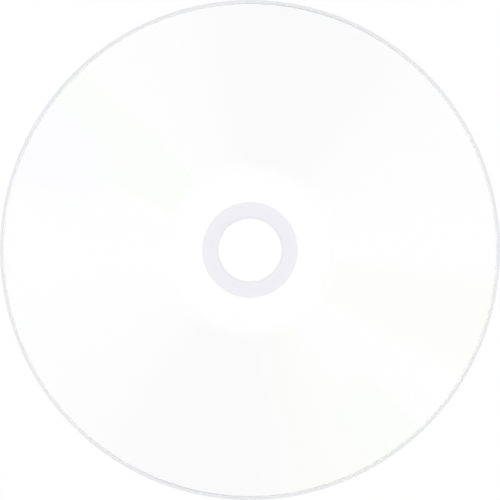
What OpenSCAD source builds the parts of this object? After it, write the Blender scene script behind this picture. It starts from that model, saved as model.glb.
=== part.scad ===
// Recordable disc, 120 mm across, with a white face for an inkjet printer.
// Two clear half-discs are moulded separately and glued face to face. The read half carries
// a dye film and a mirror film on its inner face, the adhesive covers and seals both films,
// and a white coat is printed on the label half, from just outside the centre hole almost
// to the rim. The disc lies with its read side down. Its axis is Z, and Z = 0 is the foot
// of the stacking ring, which holds the read side clear of a table or of the next disc.

/* [Disc] */
// Diameter of the disc
disc_d = 120; // [80:0.1:150]
// Diameter of the centre hole
bore_d = 15; // [10:0.05:20]
// Thickness of the read half
read_half_t = 0.6; // [0.4:0.01:0.9]
// Thickness of the label half
label_half_t = 0.58; // [0.4:0.01:0.9]
// Radius that rounds off the outer edge of each half
rim_round = 0.2; // [0.05:0.01:0.3]
// Chamfer at each mouth of the centre hole
bore_chamfer = 0.1; // [0.02:0.01:0.2]

/* [Stacking ring] */
// Mean diameter of the ring under the read side
stack_ring_d = 35; // [28:0.1:44]
// Width of the ring where it leaves the read side
stack_ring_w = 1.1; // [0.6:0.05:2]
// Width of the flat foot that the ring rests on
stack_foot_w = 0.4; // [0.1:0.05:0.55]
// Height of the ring
stack_ring_h = 0.2; // [0.05:0.01:0.25]

/* [Mould groove] */
// Distance from the mirror film in to the groove that the mould leaves in the read half's inner face
groove_gap = 1; // [0.3:0.1:4]
// Width of the groove at its mouth
groove_w = 0.6; // [0.3:0.05:1.2]
// Depth of the groove
groove_h = 0.06; // [0.02:0.01:0.12]
// Run of each slanted side of the groove
groove_side = 0.1; // [0.02:0.01:0.14]

/* [Films] */
// Inner diameter of the mirror film
mirror_inner_d = 40.6; // [33:0.1:50]
// Clear rim between the edge of the mirror film and the edge of the disc
mirror_rim = 0.65; // [0.45:0.05:3]
// How far the dye stops short of each edge of the mirror film
dye_setback = 0.5; // [0.1:0.05:2]
// Thickness of the dye film, drawn thicker than the real 0.0002
dye_t = 0.01; // [0.005:0.001:0.015]
// Thickness of the mirror film, drawn thicker than the real 0.0001
mirror_t = 0.01; // [0.005:0.001:0.015]

/* [Adhesive] */
// Distance between the two halves
bond_t = 0.05; // [0.04:0.005:0.1]
// How far the adhesive stops short of the centre hole and of the rim
bond_inset = 0.2; // [0.05:0.05:0.4]

/* [Print coat] */
// Inner diameter of the white coat
coat_inner_d = 22.9; // [21:0.1:46]
// Clear rim between the edge of the coat and the edge of the disc
coat_rim = 0.98; // [0.35:0.01:3]
// Thickness of the coat
coat_t = 0.03; // [0.01:0.005:0.06]
// How much narrower the coat's face is than its foot, at each edge
coat_edge = 0.03; // [0.005:0.005:0.1]

/* [Hidden] */
$fn = 256;

disc_r = disc_d / 2;
bore_r = bore_d / 2;
stack_ring_r = stack_ring_d / 2;

mirror_in_r = mirror_inner_d / 2;
mirror_out_r = disc_r - mirror_rim;
groove_r = mirror_in_r - groove_gap - groove_w / 2;
dye_in_r = mirror_in_r + dye_setback;
dye_out_r = mirror_out_r - dye_setback;
coat_in_r = coat_inner_d / 2;
coat_out_r = disc_r - coat_rim;

read_z = stack_ring_h;
bond_z = read_z + read_half_t;
label_z = bond_z + bond_t;
coat_z = label_z + label_half_t;
films_t = dye_t + mirror_t;

// Section of a flat ring between two radii and two heights
module ring_section(inner_r, outer_r, low_z, high_z) {
    translate([inner_r, low_z])
        square([outer_r - inner_r, high_z - low_z]);
}

// Section of one half-disc as moulded, with its outer face down at height 0: the centre hole
// has a chamfered mouth and the rim is rounded, both at the outer face only
module half_section(thickness) {
    polygon([
        [bore_r + bore_chamfer, 0],
        [disc_r - rim_round, 0],
        [disc_r - rim_round, rim_round],
        [disc_r, rim_round],
        [disc_r, thickness],
        [bore_r, thickness],
        [bore_r, bore_chamfer]
    ]);
    translate([disc_r - rim_round, rim_round])
        circle(r = rim_round);
}

// Section of the stacking ring, below the read side
module stack_ring_section() {
    polygon([
        [stack_ring_r - stack_ring_w / 2, read_z],
        [stack_ring_r - stack_foot_w / 2, 0],
        [stack_ring_r + stack_foot_w / 2, 0],
        [stack_ring_r + stack_ring_w / 2, read_z]
    ]);
}

// Section of the mould's groove, which opens at the inner face of the read half
module groove_section() {
    polygon([
        [groove_r - groove_w / 2, bond_z],
        [groove_r - groove_w / 2 + groove_side, bond_z - groove_h],
        [groove_r + groove_w / 2 - groove_side, bond_z - groove_h],
        [groove_r + groove_w / 2, bond_z]
    ]);
}

// Clear half that the laser reads through, with the stacking ring on its outer face
module read_half() {
    color([0.88, 0.88, 0.94, 0.5])
        rotate_extrude()
            difference() {
                union() {
                    translate([0, read_z])
                        half_section(read_half_t);
                    stack_ring_section();
                }
                groove_section();
            }
}

// Recording dye, on the inner face of the read half
module dye_film() {
    color([0.36, 0.27, 0.58])
        rotate_extrude()
            ring_section(dye_in_r, dye_out_r, bond_z, bond_z + dye_t);
}

// Mirror, over the dye and down past both of its edges
module mirror_film() {
    color([0.85, 0.85, 0.88])
        rotate_extrude()
            difference() {
                ring_section(mirror_in_r, mirror_out_r, bond_z, bond_z + films_t);
                ring_section(dye_in_r, dye_out_r, bond_z, bond_z + dye_t);
            }
}

// Adhesive between the halves, over both films and down into the mould's groove
module adhesive() {
    color([0.93, 0.92, 0.85, 0.5])
        rotate_extrude()
            union() {
                difference() {
                    ring_section(bore_r + bond_inset, disc_r - bond_inset, bond_z, label_z);
                    ring_section(mirror_in_r, mirror_out_r, bond_z, bond_z + films_t);
                }
                groove_section();
            }
}

// Clear half that carries the print coat
module label_half() {
    color([0.88, 0.88, 0.94, 0.5])
        rotate_extrude()
            translate([0, coat_z])
                mirror([0, 1])
                    half_section(label_half_t);
}

// White coat that takes the ink
module print_coat() {
    color([0.97, 0.97, 0.97])
        rotate_extrude()
            polygon([
                [coat_in_r, coat_z],
                [coat_out_r, coat_z],
                [coat_out_r - coat_edge, coat_z + coat_t],
                [coat_in_r + coat_edge, coat_z + coat_t]
            ]);
}

read_half();
dye_film();
mirror_film();
adhesive();
label_half();
print_coat();
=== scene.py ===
"""A recordable disc, 120 mm across, lying on a white floor with its printable face up.

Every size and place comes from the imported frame, in metres, with Z along the disc's axis and
Z = 0 at the foot of the stacking ring. Each piece is drawn as the section of a ring and turned
about Z. From the floor up they are the read half, the dye layer, the mirror layer, the adhesive,
the label half and the print coat.
"""

import logging
from abc import ABC, abstractmethod
from collections.abc import Callable, Sequence
from dataclasses import dataclass, field
from enum import Enum
from math import cos, hypot, pi, radians, sin, tau
from typing import ClassVar

import bmesh
import bpy
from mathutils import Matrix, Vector


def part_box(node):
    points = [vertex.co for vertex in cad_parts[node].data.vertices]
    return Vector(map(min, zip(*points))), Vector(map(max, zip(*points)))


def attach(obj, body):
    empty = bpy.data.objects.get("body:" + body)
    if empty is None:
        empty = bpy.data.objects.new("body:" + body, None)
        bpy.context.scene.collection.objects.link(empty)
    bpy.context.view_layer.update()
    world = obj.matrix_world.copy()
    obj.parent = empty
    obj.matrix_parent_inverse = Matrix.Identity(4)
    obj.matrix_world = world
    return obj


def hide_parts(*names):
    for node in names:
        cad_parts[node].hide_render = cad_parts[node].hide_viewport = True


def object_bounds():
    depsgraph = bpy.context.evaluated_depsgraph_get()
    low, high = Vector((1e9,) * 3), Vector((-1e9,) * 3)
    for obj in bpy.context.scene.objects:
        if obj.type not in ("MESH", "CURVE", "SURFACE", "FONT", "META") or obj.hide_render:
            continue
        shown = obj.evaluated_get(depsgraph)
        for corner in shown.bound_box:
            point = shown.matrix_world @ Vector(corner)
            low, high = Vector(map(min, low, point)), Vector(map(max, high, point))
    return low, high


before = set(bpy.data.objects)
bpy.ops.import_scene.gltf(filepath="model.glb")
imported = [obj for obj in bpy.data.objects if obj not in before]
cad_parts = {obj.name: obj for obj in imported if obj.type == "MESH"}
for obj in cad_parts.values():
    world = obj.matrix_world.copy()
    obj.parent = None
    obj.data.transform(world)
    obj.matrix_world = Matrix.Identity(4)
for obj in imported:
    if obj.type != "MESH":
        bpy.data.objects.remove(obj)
CAD_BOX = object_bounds()

Colour = tuple[float, float, float]
Span = tuple[float, float]
Stop = tuple[float, Enum]
Socket = bpy.types.NodeSocket
Outputs = bpy.types.NodeOutputs
Value = Socket | float | Sequence[float]

LOG = logging.getLogger("printable_disc")
MM = 0.001
DECIMALS = 6  # of a metre, to which the frame is read
FULL_TURN = 360  # degrees
STEPS = 512  # steps in a full turn of a section
SHARP = radians(30)  # edges that turn further stay sharp
SKIN = 0.002 * MM  # between faces that touch, so that a ray always meets them in the same order
REACH = 0.004 * MM  # how near a point has to be to a place to count as there
ACROSS = 0.25  # quarter turn, which spreads a reflection across the grooves
BEYOND = 99.0  # radius in millimetres past the disc's rim, for masks with no outer end
WHITE: Colour = (1.0, 1.0, 1.0)
BLACK: Colour = (0.0, 0.0, 0.0)


class Slot(Enum):
    """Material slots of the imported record."""

    PLASTIC = "clear_plastic"
    DYE = "dye"
    MIRROR = "mirror_metal"
    ADHESIVE = "clear_adhesive"
    COAT = "white_coat"


class Tint(Enum):
    """Colours that the fine grooves split white light into, as the coat shows them, painted onto
    the surface by angle as painted reflection.
    """

    PLAIN = WHITE
    GREEN = (0.45, 0.88, 0.1)
    VIOLET = (0.53, 0.48, 1.0)
    YELLOW = (0.8, 0.75, 0.21)


class Spectrum(Enum):
    """The dye's own colour, and the same split-light colours painted over it on the read side as
    painted reflection.
    """

    DYE = (0.32, 0.23, 0.55)
    BLUE = (0.18, 0.24, 0.75)
    CYAN = (0.20, 0.54, 0.72)
    GREEN = (0.32, 0.64, 0.34)
    YELLOW = (0.74, 0.66, 0.30)
    ORANGE = (0.76, 0.40, 0.28)
    MAGENTA = (0.58, 0.26, 0.52)


class Edge(Enum):
    """Ways to take off a corner of a section, and the facets that each leaves."""

    CHAMFER = 1
    SOFT = 3
    ROUND = 8


# Sizes from the frame


@dataclass(frozen=True)
class Outline:
    """The round edges of a CAD node, read from its mesh.

    Args:
        node: name of the CAD node.
    """

    node: str

    def edges(self) -> list[tuple[float, float]]:
        """Return the radius and the height of every round edge, smallest radius first."""
        places = [vertex.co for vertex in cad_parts[self.node].data.vertices]
        edges = {(round(hypot(x, y), DECIMALS), round(z, DECIMALS)) for x, y, z in places}
        return sorted(edges)

    def heights(self) -> Span:
        """Return the lowest and the greatest height of the node."""
        low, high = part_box(self.node)
        return low.z, high.z

    def radii(self) -> Span:
        """Return the smallest and the largest radius of the node."""
        edges = self.edges()
        return edges[0][0], edges[-1][0]

    def radii_at(self, height: float) -> tuple[float, ...]:
        """Return the radii of the round edges at one height.

        Args:
            height: height above the floor, in metres.

        Returns:
            The radii in metres, smallest first.
        """
        return tuple(radius for radius, level in self.edges() if abs(level - height) < REACH)


# Modelling


class Section:
    """Half of a ring's section, drawn flat in the XZ plane in edit mode and turned about Z."""

    def __init__(self, name: str, inner: float, outer: float, low: float, high: float) -> None:
        """Start from a plane that fills the ring's section.

        Args:
            name: name of the finished piece.
            inner: inner radius.
            outer: outer radius.
            low: height of the underside.
            high: height of the top.
        """
        bpy.ops.object.select_all(action="DESELECT")
        middle = ((inner + outer) / 2, 0, (low + high) / 2)
        bpy.ops.mesh.primitive_plane_add(size=1, location=middle, rotation=(pi / 2, 0, 0))
        self.piece = bpy.context.object
        self.piece.name = self.piece.data.name = name
        self.piece.scale = (outer - inner, high - low, 1)
        bpy.ops.object.transform_apply(location=True, rotation=True, scale=True)
        bpy.ops.object.mode_set(mode="EDIT")
        bpy.context.tool_settings.mesh_select_mode = (True, False, False)

    def pick(self, wanted: Callable[[Vector], bool]) -> None:
        """Select the points that a test picks, and the edges and faces between them.

        Args:
            wanted: test of a point's place.
        """
        mesh = bmesh.from_edit_mesh(self.piece.data)
        for part in [*mesh.faces, *mesh.edges]:
            part.select = False
        for point in mesh.verts:
            point.select = wanted(point.co)
        mesh.select_flush_mode()
        bmesh.update_edit_mesh(self.piece.data)

    def pick_row(self, start: float, end: float, height: float) -> None:
        """Select the points between two radii at one height.

        Args:
            start: smallest radius.
            end: largest radius.
            height: height of the points.
        """
        self.pick(
            lambda place: start - REACH < place.x < end + REACH and abs(place.z - height) < REACH
        )

    def take_corner(self, radius: float, height: float, by: float, edge: Edge) -> None:
        """Chamfer or round one corner.

        Args:
            radius: radius of the corner.
            height: height of the corner.
            by: how far the cut reaches along each side.
            edge: kind of cut.
        """
        self.pick_row(radius, radius, height)
        bpy.ops.mesh.bevel(
            offset=by, offset_type="OFFSET", segments=edge.value, affect="VERTICES", profile=0.5
        )

    def cut_across(self, *at: float) -> None:
        """Add points to the top and the underside at some radii."""
        for radius in at:
            bpy.ops.mesh.select_all(action="SELECT")
            bpy.ops.mesh.bisect(plane_co=(radius, 0, 0), plane_no=(1, 0, 0), use_fill=False)

    def shift_row(self, start: float, end: float, height: float, out: float, up: float) -> None:
        """Move the points between two radii at one height.

        Args:
            start: smallest radius.
            end: largest radius.
            height: height of the points.
            out: how far they move outwards.
            up: how far they move upwards.
        """
        self.pick_row(start, end, height)
        bpy.ops.transform.translate(value=(out, 0, up))

    def step_over(self, layer: Span, height: float, level: float) -> None:
        """Lift part of the underside over a layer that lies below it.

        Args:
            layer: radii of the layer.
            height: height of the underside.
            level: height that it steps up to.
        """
        inner, outer = layer
        rise = level - height
        self.cut_across(inner - rise, inner - SKIN)
        self.cut_across(outer + SKIN, outer + rise)
        self.shift_row(inner - SKIN, outer + SKIN, height, 0, rise)

    def pull_foot(self, root: Span, foot: Span, height: float, level: float) -> None:
        """Extrude part of the underside downwards into a foot with slanted sides.

        Args:
            root: radii of the foot where it leaves the underside.
            foot: radii of the foot where it stands.
            height: height of the underside.
            level: height that the foot stands at.
        """
        self.cut_across(*root)
        self.pick_row(*root, height)
        bpy.ops.mesh.extrude_region_move(TRANSFORM_OT_translate={"value": (0, 0, level - height)})
        narrower = (foot[1] - foot[0]) / (root[1] - root[0])
        middle = ((root[0] + root[1]) / 2, 0, level)
        bpy.ops.transform.resize(value=(narrower, 1, 1), center_override=middle)

    def turn(self) -> bpy.types.Object:
        """Turn the section's outline about Z into a closed ring.

        Returns:
            The piece, in object mode, with its faces outwards.
        """
        bpy.ops.mesh.select_all(action="SELECT")
        bpy.ops.mesh.dissolve_faces()
        bpy.ops.mesh.select_all(action="SELECT")
        bpy.ops.mesh.delete(type="ONLY_FACE")
        bpy.ops.mesh.select_all(action="SELECT")
        bpy.ops.mesh.spin(
            steps=STEPS, angle=tau, center=(0, 0, 0), axis=(0, 0, 1), use_auto_merge=True
        )
        bpy.ops.mesh.select_all(action="SELECT")
        bpy.ops.mesh.remove_doubles(threshold=SKIN / 2)
        bpy.ops.mesh.normals_make_consistent(inside=False)
        bpy.ops.object.mode_set(mode="OBJECT")
        return self.piece


def finish_surface(piece: bpy.types.Object, materials: Sequence[bpy.types.Material]) -> None:
    """Smooth a piece, keep its flat faces flat and give it its materials.

    Args:
        piece: the piece.
        materials: its materials, the main one first.
    """
    bpy.ops.object.select_all(action="DESELECT")
    piece.select_set(True)
    bpy.context.view_layer.objects.active = piece
    bpy.ops.object.shade_smooth_by_angle(angle=SHARP)
    bpy.ops.object.modifier_add(type="WEIGHTED_NORMAL")
    piece.modifiers[-1].keep_sharp = True
    bpy.ops.object.modifier_apply(modifier=piece.modifiers[-1].name)
    for material in materials:
        piece.data.materials.append(material)


def use_material(
    piece: bpy.types.Object, index: int, wanted: Callable[[float, float], bool]
) -> None:
    """Give one of a piece's materials to the faces whose middle passes a test.

    Args:
        piece: the piece, with its materials in place.
        index: place of the material in the piece's list.
        wanted: test of the radius and the height of a face's middle.
    """
    bpy.ops.object.mode_set(mode="EDIT")
    mesh = bmesh.from_edit_mesh(piece.data)
    for face in mesh.faces:
        middle = face.calc_center_median()
        face.select_set(wanted(hypot(middle.x, middle.y), middle.z))
    bmesh.update_edit_mesh(piece.data)
    piece.active_material_index = index
    bpy.ops.object.material_slot_assign()
    bpy.ops.object.mode_set(mode="OBJECT")
    piece.active_material_index = 0


# Shader nodes


def opaque(colour: Value) -> Value:
    """Add an alpha of 1 to a plain colour, and leave a socket as it is."""
    return colour if isinstance(colour, Socket) else (*colour, 1.0)


class Wiring:
    """Adds nodes to one node tree and joins their sockets."""

    def __init__(self, tree: bpy.types.NodeTree) -> None:
        """Take the tree that the nodes go into."""
        self.tree = tree

    @classmethod
    def emptied(cls, owner: bpy.types.Material | bpy.types.World | bpy.types.Light) -> "Wiring":
        """Give a material, a world or a lamp an empty node tree, and return its wiring."""
        owner.use_nodes = True
        owner.node_tree.nodes.clear()
        return cls(owner.node_tree)

    def feed(self, entry: Socket, value: Value) -> None:
        """Join an input to a socket, or set the input's own value."""
        if isinstance(value, Socket):
            self.tree.links.new(value, entry)
        else:
            entry.default_value = value

    def node(
        self, kind: str, values: Sequence[Value] | dict[str, Value] = (), **settings: object
    ) -> bpy.types.Node:
        """Add a node.

        Args:
            kind: Blender's name for the node's type.
            values: a socket to join or a value to set for each input, in order or by name.
            settings: the node's own settings.

        Returns:
            The new node.
        """
        made = self.tree.nodes.new(kind)
        for name, setting in settings.items():
            setattr(made, name, setting)
        pairs = values.items() if isinstance(values, dict) else enumerate(values)
        for key, value in pairs:
            self.feed(made.inputs[key], value)
        return made

    def out(
        self, kind: str, values: Sequence[Value] | dict[str, Value] = (), **settings: object
    ) -> Socket:
        """Add a node as node() does, and return its first output."""
        return self.node(kind, values, **settings).outputs[0]

    def math(self, operation: str, *values: Value, clamp: bool = False) -> Socket:
        """Add a Math node and return its output."""
        return self.out("ShaderNodeMath", values, operation=operation, use_clamp=clamp)

    def remap(
        self,
        value: Value,
        source: tuple[Value, Value],
        target: tuple[Value, Value] = (0.0, 1.0),
        kind: str = "LINEAR",
    ) -> Socket:
        """Carry a value from one range over to another, and stop at its ends.

        Args:
            value: the value.
            source: range that it comes from.
            target: range that it goes to.
            kind: Blender's name for the way from end to end.

        Returns:
            The value in the second range.
        """
        return self.out("ShaderNodeMapRange", [value, *source, *target], interpolation_type=kind)

    def ramp(
        self, value: Value, stops: Sequence[tuple[float, Colour]], kind: str = "LINEAR"
    ) -> Socket:
        """Read a colour from a ramp.

        Args:
            value: place on the ramp, from 0 to 1.
            stops: places and their colours.
            kind: Blender's name for the way from stop to stop.

        Returns:
            The colour.
        """
        made = self.node("ShaderNodeValToRGB", [value])
        elements = made.color_ramp.elements
        while len(elements) < len(stops):
            elements.new(1.0)
        for element, (place, colour) in zip(elements, stops):
            element.position = place
            element.color = opaque(colour)
        made.color_ramp.interpolation = kind
        return made.outputs["Color"]

    def blend(self, share: Value, first: Value, second: Value, kind: str = "MIX") -> Socket:
        """Blend two colours.

        Args:
            share: share of the second colour.
            first: first colour.
            second: second colour.
            kind: Blender's name for the way of blending.

        Returns:
            The blended colour.
        """
        values = {"Factor_Float": share, "A_Color": opaque(first), "B_Color": opaque(second)}
        made = self.node("ShaderNodeMix", data_type="RGBA", blend_type=kind)
        for entry in made.inputs:
            if entry.identifier in values:
                self.feed(entry, values[entry.identifier])
        return next(socket for socket in made.outputs if socket.identifier == "Result_Color")


class Effect(ABC):
    """A shader node group that several finishes place, each with its own values."""

    name: str
    takes: dict[str, float] = {}
    gives: dict[str, str] = {}

    def __init__(self) -> None:
        """Make the group's tree with its named sockets and fill it."""
        self.tree = bpy.data.node_groups.new(self.name, "ShaderNodeTree")
        sockets = self.tree.interface
        for label, value in self.takes.items():
            entry = sockets.new_socket(label, in_out="INPUT", socket_type="NodeSocketFloat")
            entry.default_value = value
        for label, kind in self.gives.items():
            sockets.new_socket(label, in_out="OUTPUT", socket_type=kind)
        wiring = Wiring(self.tree)
        given = wiring.node("NodeGroupInput").outputs
        wiring.node("NodeGroupOutput", self.results(wiring, given))

    @abstractmethod
    def results(self, wiring: Wiring, given: Outputs) -> dict[str, Socket]:
        """Add the group's nodes.

        Args:
            wiring: the group's tree.
            given: the group's inputs.

        Returns:
            The socket that feeds each output.
        """

    def place(self, wiring: Wiring, **values: Value) -> Outputs:
        """Put the group into a material.

        Args:
            wiring: the material's tree.
            values: a value or a socket for each input.

        Returns:
            The outputs of the group.
        """
        return wiring.node("ShaderNodeGroup", values, node_tree=self.tree).outputs


class Polar(Effect):
    """Distance from the disc's axis in millimetres, and angle about it in turns."""

    name = "Disc polar"
    gives = {"Radius": "NodeSocketFloat", "Angle": "NodeSocketFloat"}

    def results(self, wiring: Wiring, given: Outputs) -> dict[str, Socket]:
        """Work both out from the object coordinates."""
        place = wiring.node("ShaderNodeTexCoord").outputs["Object"]
        parts = wiring.node("ShaderNodeSeparateXYZ", [place]).outputs
        across = wiring.math("MULTIPLY", parts["X"], parts["X"])
        squared = wiring.math("MULTIPLY_ADD", parts["Y"], parts["Y"], across)
        radius = wiring.math("DIVIDE", wiring.math("SQRT", squared), MM)
        angle = wiring.math("DIVIDE", wiring.math("ARCTAN2", parts["Y"], parts["X"]), tau)
        return {"Radius": radius, "Angle": wiring.math("FRACT", angle)}


class Band(Effect):
    """Mask of a ring between two radii, with soft edges."""

    name = "Ring mask"
    takes = {"Radius": 0.0, "Inner": 0.0, "Outer": 60.0, "Softness": 0.5}
    gives = {"Mask": "NodeSocketFloat"}

    def results(self, wiring: Wiring, given: Outputs) -> dict[str, Socket]:
        """Fade in over the softness from the inner radius, and out up to the outer one."""
        inner, outer, soft = given["Inner"], given["Outer"], given["Softness"]
        full_from = wiring.math("ADD", inner, soft)
        full_to = wiring.math("SUBTRACT", outer, soft)
        rise = wiring.remap(given["Radius"], (inner, full_from), kind="SMOOTHSTEP")
        fall = wiring.remap(given["Radius"], (full_to, outer), (1.0, 0.0), kind="SMOOTHSTEP")
        return {"Mask": wiring.math("MULTIPLY", rise, fall)}

    def mask(self, wiring: Wiring, radius: Socket, span: Span, softness: float) -> Socket:
        """Put the group into a material.

        Args:
            wiring: the material's tree.
            radius: distance from the axis in millimetres.
            span: inner and outer radius of the ring in millimetres.
            softness: width of each soft edge.

        Returns:
            The mask.
        """
        inner, outer = span
        return self.place(wiring, Radius=radius, Inner=inner, Outer=outer, Softness=softness)[0]


class Fans(Effect):
    """Colours that fan out from the axis, as the fine grooves split the light, painted by angle as
    painted reflection.
    """

    takes = {"Radius": 0.0, "Angle": 0.0, "Strength": 1.0}
    gives = {"Tint": "NodeSocketColor"}
    steps: str

    def colour(self, wiring: Wiring, angle: Socket, stops: Sequence[Stop]) -> Socket:
        """Read the colour at an angle in turns from a ramp over the whole turn."""
        turns = [(degrees / FULL_TURN, colour.value) for degrees, colour in stops]
        return wiring.ramp(angle, turns, self.steps)


def plain_fan(start: float, end: float, *bands: tuple[float, float, Tint]) -> tuple[Stop, ...]:
    """Return the stops of one fan that starts and ends in plain white.

    Args:
        start: angle where it starts, in degrees.
        end: angle where it ends.
        bands: angles between which each full colour holds, and the colour.

    Returns:
        The angles and their colours.
    """
    stops = [(degrees, colour) for first, last, colour in bands for degrees in (first, last)]
    return ((start, Tint.PLAIN), *stops, (end, Tint.PLAIN))


class LabelFans(Fans):
    """Faint painted fans on the label side, with one set of colours near the hub and one far out.

    The near fans change into the far ones between two radii in millimetres.
    """

    name = "Label side fans"
    steps = "EASE"
    # painted reflection: split-light colours fixed by angle
    near = (
        *plain_fan(126, 158, (132, 152, Tint.GREEN)),
        *plain_fan(278, 302, (284, 296, Tint.YELLOW)),
        *plain_fan(325, 355, (331, 349, Tint.YELLOW)),
    )
    far = (
        *plain_fan(131, 166, (135, 141, Tint.GREEN), (146, 159, Tint.VIOLET)),
        *plain_fan(279, 316, (285, 295, Tint.YELLOW), (300, 311, Tint.GREEN)),
        *plain_fan(327, 356, (333, 347, Tint.YELLOW)),
    )
    change = (33.0, 47.0)

    def results(self, wiring: Wiring, given: Outputs) -> dict[str, Socket]:
        """Turn the near fans into the far ones over the middle of the disc."""
        outwards = wiring.remap(given["Radius"], self.change)
        fans = [self.colour(wiring, given["Angle"], stops) for stops in (self.near, self.far)]
        tint = wiring.blend(outwards, *fans)
        return {"Tint": wiring.blend(given["Strength"], Tint.PLAIN.value, tint)}


class ReadFans(Fans):
    """Two painted rainbows on the read side, opposite each other and slightly swept.

    The stops of the rainbow are degrees from where it starts, and the sweep is in turns for
    each millimetre outwards.
    """

    name = "Read side fans"
    steps = "B_SPLINE"
    # painted reflection: rainbow colours over the dye's own violet
    rainbow = (
        (0, Spectrum.DYE),
        (12, Spectrum.BLUE),
        (21, Spectrum.CYAN),
        (29, Spectrum.GREEN),
        (37, Spectrum.YELLOW),
        (45, Spectrum.ORANGE),
        (54, Spectrum.MAGENTA),
        (68, Spectrum.DYE),
    )
    starts = (25.0, 205.0)
    sweep = 0.0009

    def results(self, wiring: Wiring, given: Outputs) -> dict[str, Socket]:
        """Lay the rainbow at both starts and sweep it outwards."""
        swept = wiring.math("MULTIPLY_ADD", given["Radius"], self.sweep, given["Angle"])
        stops = [
            (start + degrees, colour) for start in self.starts for degrees, colour in self.rainbow
        ]
        rainbow = self.colour(wiring, wiring.math("FRACT", swept), stops)
        return {"Tint": wiring.blend(given["Strength"], Spectrum.DYE.value, rainbow)}


class Grain(Effect):
    """Fine uneven grain over a surface, as a height and as a slight change of shade."""

    name = "Fine grain"
    takes = {"Size": 0.2, "Contrast": 0.02}
    gives = {"Height": "NodeSocketFloat", "Shade": "NodeSocketFloat"}
    detail = 3.0
    mean_height = 0.5

    def results(self, wiring: Wiring, given: Outputs) -> dict[str, Socket]:
        """Make noise with grains of the given size in millimetres."""
        place = wiring.node("ShaderNodeTexCoord").outputs["Object"]
        scale = wiring.math("DIVIDE", 1 / MM, given["Size"])
        height = wiring.out(
            "ShaderNodeTexNoise", {"Vector": place, "Scale": scale, "Detail": self.detail}
        )
        swing = wiring.math("SUBTRACT", height, self.mean_height)
        shade = wiring.math("MULTIPLY_ADD", swing, given["Contrast"], 1.0)
        return {"Height": height, "Shade": shade}


@dataclass
class Effects:
    """The groups that the finishes share."""

    polar: Polar = field(default_factory=Polar)
    band: Band = field(default_factory=Band)
    label_fans: LabelFans = field(default_factory=LabelFans)
    read_fans: ReadFans = field(default_factory=ReadFans)
    grain: Grain = field(default_factory=Grain)


# Finishes


@dataclass(frozen=True)
class Finish(ABC):
    """One finish of the disc, made as a material.

    Args:
        effects: the shared shader groups.
        name: name of the material.
    """

    effects: Effects
    name: str

    @abstractmethod
    def surface(self, wiring: Wiring) -> Socket:
        """Add the finish's nodes and return its shader."""

    def material(self) -> bpy.types.Material:
        """Return the finish as a material."""
        material = bpy.data.materials.new(self.name)
        wiring = Wiring.emptied(material)
        wiring.node("ShaderNodeOutputMaterial", [self.surface(wiring)])
        return material

    def grooved(self, wiring: Wiring) -> Socket:
        """Return the direction of the grooves, round the axis."""
        return wiring.out("ShaderNodeTangent", direction_type="RADIAL", axis="Z")

    def glass(
        self, wiring: Wiring, colour: Value, roughness: Value = 0.0, ior: float = 1.0
    ) -> Socket:
        """Return a clear shader, which doesn't bend light while its index is 1.

        Args:
            wiring: the material's tree.
            colour: colour that it gives to white light.
            roughness: roughness of its surface.
            ior: refractive index.

        Returns:
            The shader.
        """
        return wiring.out(
            "ShaderNodeBsdfPrincipled",
            {"Base Color": colour, "Roughness": roughness, "IOR": ior, "Transmission Weight": 1.0},
        )

    def clear(self, wiring: Wiring, colour: Value, seen: Socket, scattered: Socket) -> Socket:
        """Return a clear shader that the lamps' light passes straight.

        Args:
            wiring: the material's tree.
            colour: colour that it gives to the lamps' light.
            seen: shader that the eye and reflections meet.
            scattered: shader that light scattered by the white coat meets.

        Returns:
            The shader for all kinds of light.
        """
        path = wiring.node("ShaderNodeLightPath").outputs
        lit = wiring.out("ShaderNodeMixShader", [path["Is Diffuse Ray"], seen, scattered])
        through = wiring.out("ShaderNodeBsdfTransparent", [opaque(colour)])
        return wiring.out("ShaderNodeMixShader", [path["Is Shadow Ray"], lit, through])


@dataclass(frozen=True)
class ClearPlastic(Finish):
    """Clear moulded plastic where it meets the air.

    Args:
        cast: colour that it gives to white light which goes in and out again.
        edge: the same at the rounded rim, darkened there as painted shade for the rounded edge;
            light also goes a longer way through.
        edge_from: radius in millimetres where that begins.
        edge_softness: width in millimetres over which it sets in.
        painted_flank_shade: the same on the slanted sides of the stacking ring, darkened there as
            painted shade.
        flanks: radii in millimetres of those sides.
        ior: refractive index.
        haze: roughness of the least and the most handled places.
        grain: size in millimetres and contrast of the handling.
    """

    cast: Colour = (0.911, 0.900, 0.948)
    # painted shade at the rounded rim
    edge: Colour = (0.850, 0.854, 0.872)
    edge_from: float = 59.17
    edge_softness: float = 0.4
    # painted shade on the stacking ring's slanted sides
    painted_flank_shade: Colour = (0.62, 0.63, 0.65)
    flanks: tuple[Span, ...] = ((16.9, 17.35), (17.65, 18.1))
    ior: float = 1.585
    haze: Span = (0.01, 0.05)
    grain: Span = (3.0, 0.02)

    def surface(self, wiring: Wiring) -> Socket:
        """Return glass that lets the lamps' light through."""
        radius = self.effects.polar.place(wiring)["Radius"]
        band = self.effects.band
        # painted shade at the rounded rim
        rim = band.mask(wiring, radius, (self.edge_from, BEYOND), self.edge_softness)
        cast = wiring.blend(rim, self.cast, self.edge)
        # painted shade on the stacking ring's slanted sides
        for inner, outer in self.flanks:
            side = band.mask(wiring, radius, (inner, outer), (outer - inner) / 2)
            cast = wiring.blend(side, cast, self.painted_flank_shade)
        size, contrast = self.grain
        grain = self.effects.grain.place(wiring, Size=size, Contrast=contrast)
        colour = wiring.blend(grain["Shade"], BLACK, cast)
        rough = wiring.remap(grain["Height"], (0.0, 1.0), self.haze)
        seen = self.glass(wiring, colour, rough, self.ior)
        return self.clear(wiring, self.cast, seen, self.glass(wiring, colour))


@dataclass(frozen=True)
class Contact(Finish):
    """Faces that are glued or coated, where plastic meets plastic and nothing reflects."""

    def surface(self, wiring: Wiring) -> Socket:
        """Return a face that light passes straight."""
        return wiring.out("ShaderNodeBsdfTransparent", [opaque(WHITE)])


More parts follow.
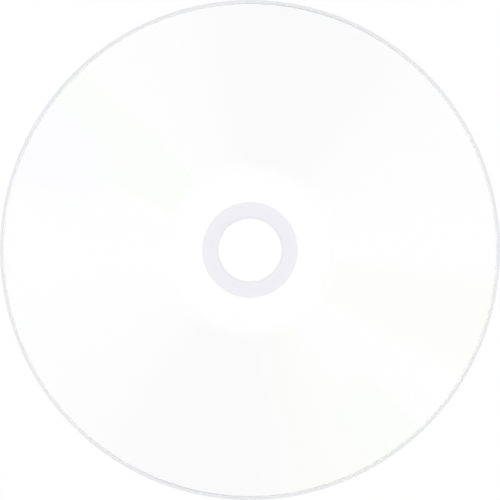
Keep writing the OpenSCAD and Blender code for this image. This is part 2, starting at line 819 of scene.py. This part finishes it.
@dataclass(frozen=True)
class CuredAdhesive(Finish):
    """Faces of the adhesive against the halves, with a denser bead along its inner edge.

    Args:
        inner: inner radius of the adhesive in metres.
        body: colour that it gives to white light.
        bead: the same where light crosses the bead.
        bead_width: width of the bead in millimetres.
        bead_softness: width in millimetres over which it fades.
    """

    inner: float
    body: Colour = (0.994, 0.996, 0.988)
    bead: Colour = (0.950, 0.964, 0.936)
    bead_width: float = 0.42
    bead_softness: float = 0.14

    def surface(self, wiring: Wiring) -> Socket:
        """Return a face that doesn't bend light, with the bead's ring on it."""
        radius = self.effects.polar.place(wiring)["Radius"]
        start = self.inner / MM
        span = (start - self.bead_width, start + self.bead_width)
        ring = self.effects.band.mask(wiring, radius, span, self.bead_softness)
        colour = wiring.blend(ring, self.body, self.bead)
        scattered = wiring.out("ShaderNodeBsdfTransparent", [colour])
        return self.clear(wiring, colour, self.glass(wiring, colour), scattered)


@dataclass(frozen=True)
class PrintCoat(Finish):
    """White ink-receptive coat, which the mirror under it gives a faint gloss; the grooves'
    colours on it and its darker white over the mirror are painted.

    Args:
        painted_shade_zones: radii in millimetres and the painted shade of white there, darkest
            over the mirror,
        where bare plastic, the mould's groove and the mirror each show a little through the coat.
        mirror: radii in millimetres between which the mirror's share of the light sets in.
        mirror_share: share of the light that the mirror sends back through the coat.
        painted_sheen: strength of the grooves' colours, which are painted reflection.
        gloss: strength of the coat's own reflection.
        ior: refractive index.
        roughness: how far the coat spreads a reflection.
        anisotropy: how much more it spreads across the grooves than along them.
        grain: size in millimetres and contrast of the grain.
        tooth: strength of the grain as a relief, and its height in millimetres.
    """

    # painted shade of the coat's white by radius, darkest over the mirror
    painted_shade_zones: tuple[Span, ...] = ((15.6, 0.947), (16.2, 0.941), (19.0, 0.938), (21.6, 0.893))
    mirror: Span = (19.2, 21.6)
    mirror_share: float = 0.113
    # strength of the painted split-light colours over the mirror
    painted_sheen: float = 0.035
    gloss: float = 0.3
    ior: float = 1.4
    roughness: float = 0.42
    anisotropy: float = 0.9
    grain: Span = (0.12, 0.012)
    tooth: Span = (0.25, 0.004)

    def surface(self, wiring: Wiring) -> Socket:
        """Return satin white with fine grain, painted shade by radius and painted colours of split
        light.
        """
        polar = self.effects.polar.place(wiring)
        radius, angle = polar["Radius"], polar["Angle"]
        start, end = self.mirror
        over_mirror = self.effects.band.mask(wiring, radius, (start, BEYOND), end - start)
        size, contrast = self.grain
        grain = self.effects.grain.place(wiring, Size=size, Contrast=contrast)
        # painted reflection: the grooves' split-light colours fixed on the coat by angle, over the
        # mirror only
        strength = wiring.math("MULTIPLY", over_mirror, self.painted_sheen)
        fans = self.effects.label_fans.place(wiring, Radius=radius, Angle=angle, Strength=strength)
        # painted shade: the coat's white darkens outwards by radius, most over the mirror
        painted_shade_stops = [(place / BEYOND, (shade, shade, shade)) for place, shade in self.painted_shade_zones]
        white = wiring.ramp(wiring.math("DIVIDE", radius, BEYOND), painted_shade_stops)
        tinted = wiring.blend(1.0, white, fans["Tint"], "MULTIPLY")
        relief, height = self.tooth
        bump = wiring.out(
            "ShaderNodeBump",
            {"Strength": relief, "Distance": height * MM, "Height": grain["Height"]},
        )
        return wiring.out(
            "ShaderNodeBsdfPrincipled",
            {
                "Base Color": wiring.blend(grain["Shade"], BLACK, tinted),
                "Metallic": wiring.math("MULTIPLY", over_mirror, self.mirror_share),
                "Roughness": self.roughness,
                "IOR": self.ior,
                "Specular IOR Level": self.gloss,
                "Anisotropic": self.anisotropy,
                "Anisotropic Rotation": ACROSS,
                "Tangent": self.grooved(wiring),
                "Normal": bump,
            },
        )


@dataclass(frozen=True)
class GroovedMetal(Finish):
    """Metal over the fine grooves, seen through clear plastic.

    Args:
        fans: the painted colours of split light that fan over the metal.
        painted_sheen: strength of those painted colours.
        metal: colour of the metal under them.
        roughness: how far the surface spreads a reflection.
        anisotropy: how much more it spreads across the grooves than along them.
        grain: size in millimetres and contrast of the grain.
        unevenness: share by which the roughness rises and falls with the grain.
    """

    fans: Fans
    painted_sheen: float
    metal: Colour
    roughness: float
    anisotropy: float
    grain: Span = (1.5, 0.04)
    unevenness: float = 0.2

    def surface(self, wiring: Wiring) -> Socket:
        """Return anisotropic metal under its painted fan colours."""
        polar = self.effects.polar.place(wiring)
        size, contrast = self.grain
        grain = self.effects.grain.place(wiring, Size=size, Contrast=contrast)
        # painted reflection: split-light colours fixed on the metal by angle
        fans = self.fans.place(
            wiring, Radius=polar["Radius"], Angle=polar["Angle"], Strength=self.painted_sheen
        )
        tinted = wiring.blend(1.0, self.metal, fans["Tint"], "MULTIPLY")
        swing = self.roughness * self.unevenness
        roughness = (self.roughness - swing, self.roughness + swing)
        return wiring.out(
            "ShaderNodeBsdfPrincipled",
            {
                "Base Color": wiring.blend(grain["Shade"], BLACK, tinted),
                "Metallic": 1.0,
                "Roughness": wiring.remap(grain["Height"], (0.0, 1.0), roughness),
                "Anisotropic": self.anisotropy,
                "Anisotropic Rotation": ACROSS,
                "Tangent": self.grooved(wiring),
            },
        )


@dataclass
class Finishes:
    """The materials of the disc.

    Args:
        effects: the shared shader groups.
        adhesive_inner: inner radius of the adhesive in metres.
    """

    effects: Effects
    adhesive_inner: float

    def __post_init__(self) -> None:
        """Make each material once."""
        effects = self.effects
        self.plastic = ClearPlastic(effects, "moulded_plastic").material()
        self.contact = Contact(effects, "glued_face").material()
        self.adhesive = CuredAdhesive(effects, "cured_adhesive", self.adhesive_inner).material()
        self.coat = PrintCoat(effects, "print_coat").material()
        # the mirror strip carries the label side's painted fan colours
        self.mirror = GroovedMetal(
            effects,
            "grooved_mirror",
            fans=effects.label_fans,
            painted_sheen=0.16,
            metal=(0.8, 0.8, 0.8),
            roughness=0.25,
            anisotropy=0.95,
        ).material()
        # the dye's violet is its own colour; the rainbow over it is painted reflection
        self.dye = GroovedMetal(
            effects,
            "grooved_dye",
            fans=effects.read_fans,
            painted_sheen=0.6,
            metal=WHITE,
            roughness=0.3,
            anisotropy=0.9,
        ).material()


# Pieces


@dataclass
class RingPiece(ABC):
    """One piece of the disc, which stands for one CAD node.

    Args:
        finishes: the disc's materials.
    """

    name: ClassVar[str]
    node: ClassVar[str]
    slot: ClassVar[Slot]
    free: ClassVar[Span] = (0.0, 0.0)  # left free below the piece and above it
    finishes: Finishes

    def __post_init__(self) -> None:
        """Read the piece's sizes from the frame."""
        self.outline = Outline(self.node)
        self.inner, self.outer = self.outline.radii()
        low, high = self.outline.heights()
        below, above = self.free
        self.low, self.high = low + below, high - above

    @abstractmethod
    def shape(self) -> bpy.types.Object:
        """Model the piece and return it."""

    @abstractmethod
    def dress(self, piece: bpy.types.Object) -> None:
        """Smooth the piece and give it its materials."""

    def build(self) -> None:
        piece = self.shape()
        self.dress(piece)
        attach(piece, "root")
        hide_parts(self.node)
        LOG.info("%s stands for %s: %d faces", self.name, self.node, len(piece.data.polygons))


@dataclass
class ReadHalf(RingPiece):
    """Clear half-disc under the films, with the stacking ring and the mould's groove."""

    name = "read_half_moulding"
    node = "read_half"
    slot = Slot.PLASTIC
    foot_cut: ClassVar[float] = 0.04 * MM  # at the corners of the stacking ring's foot

    def __post_init__(self) -> None:
        """Read the sizes from the frame."""
        super().__post_init__()
        edges, radii_at = self.outline.edges(), self.outline.radii_at
        self.face = min(level for _, level in edges if level > self.low + REACH)
        at_face = radii_at(self.face)
        self.chamfer, self.rounding = at_face[0] - self.inner, self.outer - at_face[-1]
        self.root, self.foot = at_face[1:3], radii_at(self.low)
        self.groove = radii_at(self.high)[1:3]
        inner, outer = self.groove
        self.groove_level = max(
            level
            for radius, level in edges
            if inner < radius < outer and self.face + REACH < level < self.high - REACH
        )
        self.groove_floor = radii_at(self.groove_level)[:2]

    def shape(self) -> bpy.types.Object:
        """Draw the half with its foot and groove, and turn it."""
        section = Section(self.name, self.inner, self.outer, self.face, self.high)
        section.take_corner(self.inner, self.face, self.chamfer, Edge.CHAMFER)
        section.take_corner(self.outer, self.face, self.rounding, Edge.ROUND)
        section.pull_foot(self.root, self.foot, self.face, self.low)
        for corner in self.foot:
            section.take_corner(corner, self.low, self.foot_cut, Edge.SOFT)
        section.cut_across(*self.groove, *self.groove_floor)
        section.shift_row(*self.groove_floor, self.high, 0, self.groove_level - self.high)
        return section.turn()

    def dress(self, piece: bpy.types.Object) -> None:
        """Give plastic to the faces in the air and contact to the glued ones."""
        finish_surface(piece, (self.finishes.plastic, self.finishes.contact))
        use_material(
            piece,
            1,
            lambda radius, height: height > self.groove_level - REACH
            and self.inner + REACH < radius < self.outer - REACH,
        )


@dataclass
class DyeLayer(RingPiece):
    """Recording dye on the inner face of the read half."""

    name = "dye_layer"
    node = "dye_film"
    slot = Slot.DYE
    free = (SKIN, SKIN)

    def shape(self) -> bpy.types.Object:
        """Draw the layer with softened edges and turn it."""
        section = Section(self.name, self.inner, self.outer, self.low, self.high)
        for radius in (self.inner, self.outer):
            section.take_corner(radius, self.high, (self.high - self.low) / 2, Edge.SOFT)
        return section.turn()

    def dress(self, piece: bpy.types.Object) -> None:
        """Give the layer its violet metal."""
        finish_surface(piece, (self.finishes.dye,))


@dataclass
class MirrorLayer(RingPiece):
    """Mirror over the dye and down past both of its edges."""

    name = "mirror_layer"
    node = "mirror_film"
    slot = Slot.MIRROR
    free = (SKIN, 2 * SKIN)

    def shape(self) -> bpy.types.Object:
        """Draw the layer with its step over the dye and turn it."""
        dye = Outline("dye_film")
        _, dye_top = dye.heights()
        section = Section(self.name, self.inner, self.outer, self.low, self.high)
        section.step_over(dye.radii(), self.low, dye_top)
        return section.turn()

    def dress(self, piece: bpy.types.Object) -> None:
        """Give the layer its bright metal."""
        finish_surface(piece, (self.finishes.mirror,))


@dataclass
class Adhesive(RingPiece):
    """Cured adhesive between the halves, over the films and down into the mould's groove."""

    name = "adhesive_layer"
    node = "adhesive"
    slot = Slot.ADHESIVE
    free = (SKIN, SKIN)

    def shape(self) -> bpy.types.Object:
        """Draw the layer, dip it into the groove, hollow it over the films and turn it."""
        mirror = Outline("mirror_film")
        face, mirror_top = mirror.heights()
        lowest, _ = self.outline.heights()
        start, end = self.outline.radii_at(face)[1:3]
        floor = self.outline.radii_at(lowest)
        bond = face + SKIN
        section = Section(self.name, self.inner, self.outer, bond, self.high)
        section.cut_across(start, *floor, end)
        section.shift_row(*floor, bond, 0, self.low - bond)
        section.step_over(mirror.radii(), bond, mirror_top - SKIN)
        return section.turn()

    def dress(self, piece: bpy.types.Object) -> None:
        """Give the layer its cured face."""
        finish_surface(piece, (self.finishes.adhesive,))


@dataclass
class LabelHalf(RingPiece):
    """Clear half-disc over the films, which carries the coat."""

    name = "label_half_moulding"
    node = "label_half"
    slot = Slot.PLASTIC

    def __post_init__(self) -> None:
        """Read the sizes from the frame."""
        super().__post_init__()
        self.coat = Outline("print_coat").radii()

    def shape(self) -> bpy.types.Object:
        """Draw the half and turn it."""
        mouth, *_, rim = self.outline.radii_at(self.high)
        section = Section(self.name, self.inner, self.outer, self.low, self.high)
        section.take_corner(self.inner, self.high, mouth - self.inner, Edge.CHAMFER)
        section.take_corner(self.outer, self.high, self.outer - rim, Edge.ROUND)
        section.cut_across(*self.coat)
        return section.turn()

    def dress(self, piece: bpy.types.Object) -> None:
        """Give plastic to the faces in the air, contact to the glued one and white to the top."""
        finishes = self.finishes
        finish_surface(piece, (finishes.plastic, finishes.contact, finishes.coat))
        glued = (self.low, self.inner + REACH, self.outer - REACH)
        for index, (level, start, end) in enumerate((glued, (self.high, *self.coat)), start=1):
            use_material(
                piece,
                index,
                lambda radius, height: abs(height - level) < REACH and start < radius < end,
            )


@dataclass
class Coat(RingPiece):
    """White coat on the label half."""

    name = "print_coat_layer"
    node = "print_coat"
    slot = Slot.COAT
    free = (SKIN, 0.0)
    edge_cut: ClassVar[float] = 0.012 * MM  # at the corners of its face

    def shape(self) -> bpy.types.Object:
        """Draw the coat with its slanted, softened edges and turn it."""
        slope = self.outline.radii_at(self.high)[0] - self.inner
        section = Section(self.name, self.inner, self.outer, self.low, self.high)
        section.shift_row(self.inner, self.inner, self.high, slope, 0)
        section.shift_row(self.outer, self.outer, self.high, -slope, 0)
        for corner in (self.inner + slope, self.outer - slope):
            section.take_corner(corner, self.high, self.edge_cut, Edge.SOFT)
        return section.turn()

    def dress(self, piece: bpy.types.Object) -> None:
        """Give the coat its satin white."""
        finish_surface(piece, (self.finishes.coat,))


# Studio


@dataclass(frozen=True)
class Softbox:
    """A large soft lamp aimed at the disc.

    Args:
        name: name of the lamp.
        bearing: direction of the lamp from the disc, in degrees from +X towards +Y.
        elevation: its height above the floor, in degrees.
        distance: its distance from the disc.
        size: its width and height.
        power: its power in watts.
        reflections: count that parts no reflection from one or more.
        faces: count that parts two clear faces or fewer from three or more.
    """

    name: str
    bearing: float
    elevation: float = 50.0
    distance: float = 1.2
    size: Span = (0.9, 1.3)
    power: float = 3.3
    reflections: float = 0.5
    faces: float = 2.5

    def build(self) -> None:
        """Add the lamp."""
        bearing, elevation = radians(self.bearing), radians(self.elevation)
        way = Vector(
            (cos(bearing) * cos(elevation), sin(bearing) * cos(elevation), sin(elevation))
        )
        bpy.ops.object.light_add(type="AREA", location=way * self.distance)
        lamp = bpy.context.object
        lamp.name = self.name
        lamp.rotation_euler = way.to_track_quat("Z", "Y").to_euler()
        lamp.data.shape = "RECTANGLE"
        lamp.data.size, lamp.data.size_y = self.size
        lamp.data.energy = self.power
        lamp.visible_camera = False
        self.hide_behind_glass(lamp.data)

    def hide_behind_glass(self, light: bpy.types.Light) -> None:
        """Hide the lamp where it is seen straight through the disc, but not in a mirror.

        Args:
            light: the lamp's data.
        """
        wiring = Wiring.emptied(light)
        path = wiring.node("ShaderNodeLightPath").outputs
        unmirrored = wiring.math("LESS_THAN", path["Glossy Depth"], self.reflections)
        through = wiring.math("GREATER_THAN", path["Transmission Depth"], self.faces)
        hidden = wiring.math("MULTIPLY", through, unmirrored)
        strength = wiring.math("SUBTRACT", 1.0, hidden)
        glow = wiring.out("ShaderNodeEmission", [opaque(WHITE), strength])
        wiring.node("ShaderNodeOutputLight", [glow])


@dataclass(frozen=True)
class Studio:
    """White floor, pale surroundings, four softboxes and the camera over the disc.

    Args:
        softboxes: names and bearings of the lamps.
        sky: strength of the light from all round.
        backdrop: shade of what the camera and reflections see beyond the floor.
        floor_colour: colour of the floor in the lamps' light.
        floor_glow: share of plain white in the floor as the camera and reflections see it.
        floor_size: side of the floor.
        lens: focal length of the camera in millimetres.
        view_width: width of the picture at the disc.
    """

    softboxes: tuple[tuple[str, float], ...] = (
        ("softbox_left_back", 132.0),
        ("softbox_left_front", 202.0),
        ("softbox_right_front", 309.0),
        ("softbox_right_back", 21.0),
    )
    sky: float = 0.5
    backdrop: Colour = (0.945, 0.95, 0.96)
    floor_colour: Colour = (0.98, 0.98, 0.98)
    floor_glow: float = 0.93
    floor_size: float = 16.0
    lens: float = 150.0
    view_width: float = 0.1201

    def seen_directly(self, wiring: Wiring) -> Socket:
        """Return 1 for rays from the camera, a reflection or glass, and 0 for the rest."""
        path = wiring.node("ShaderNodeLightPath").outputs
        both = wiring.math("ADD", path["Is Camera Ray"], path["Is Glossy Ray"])
        return wiring.math("ADD", both, path["Is Transmission Ray"], clamp=True)

    def add_world(self) -> None:
        """Light the disc evenly from all round, with a pale backdrop in view."""
        world = bpy.data.worlds.new("studio_world")
        bpy.context.scene.world = world
        wiring = Wiring.emptied(world)
        light = wiring.out("ShaderNodeBackground", [opaque(WHITE), self.sky])
        view = wiring.out("ShaderNodeBackground", [opaque(self.backdrop), 1.0])
        mixed = wiring.out("ShaderNodeMixShader", [self.seen_directly(wiring), light, view])
        wiring.node("ShaderNodeOutputWorld", [mixed])

    def add_floor(self) -> None:
        """Lay a white floor that keeps the disc's shadow and is open from below."""
        bpy.ops.object.select_all(action="DESELECT")
        bpy.ops.mesh.primitive_plane_add(size=self.floor_size, location=(0, 0, 0))
        floor = bpy.context.object
        floor.name = "studio_floor"
        material = bpy.data.materials.new("studio_floor")
        wiring = Wiring.emptied(material)
        paint = wiring.out("ShaderNodeBsdfDiffuse", [opaque(self.floor_colour)])
        glow = wiring.out("ShaderNodeEmission", [opaque(WHITE), 1.0])
        share = wiring.math("MULTIPLY", self.seen_directly(wiring), self.floor_glow)
        top = wiring.out("ShaderNodeMixShader", [share, paint, glow])
        clear = wiring.out("ShaderNodeBsdfTransparent")
        below = wiring.node("ShaderNodeNewGeometry").outputs["Backfacing"]
        mixed = wiring.out("ShaderNodeMixShader", [below, top, clear])
        wiring.node("ShaderNodeOutputMaterial", [mixed])
        floor.data.materials.append(material)

    def add_camera(self) -> None:
        """Look straight down with the disc filling the picture."""
        bpy.ops.object.camera_add(location=(0, 0, 0), rotation=(0, 0, 0))
        camera = bpy.context.object
        camera.name = "camera"
        camera.data.lens = self.lens
        distance = self.view_width * self.lens / camera.data.sensor_width
        camera.location.z = (CAD_BOX[0].z + CAD_BOX[1].z) / 2 + distance
        bpy.context.scene.camera = camera

    def build(self) -> None:
        """Set up the whole studio."""
        bpy.context.scene.view_settings.view_transform = "Standard"
        self.add_world()
        self.add_floor()
        for name, bearing in self.softboxes:
            Softbox(name, bearing).build()
        self.add_camera()
        LOG.info("studio is set up")


def main() -> None:
    """Build the disc's pieces from the floor up, and the studio."""
    logging.basicConfig(level=logging.INFO, format="%(message)s")
    adhesive_inner, _ = Outline("adhesive").radii()
    finishes = Finishes(Effects(), adhesive_inner)
    for piece in (ReadHalf, DyeLayer, MirrorLayer, Adhesive, LabelHalf, Coat):
        piece(finishes).build()
    Studio().build()


if __name__ == "__main__":
    main()
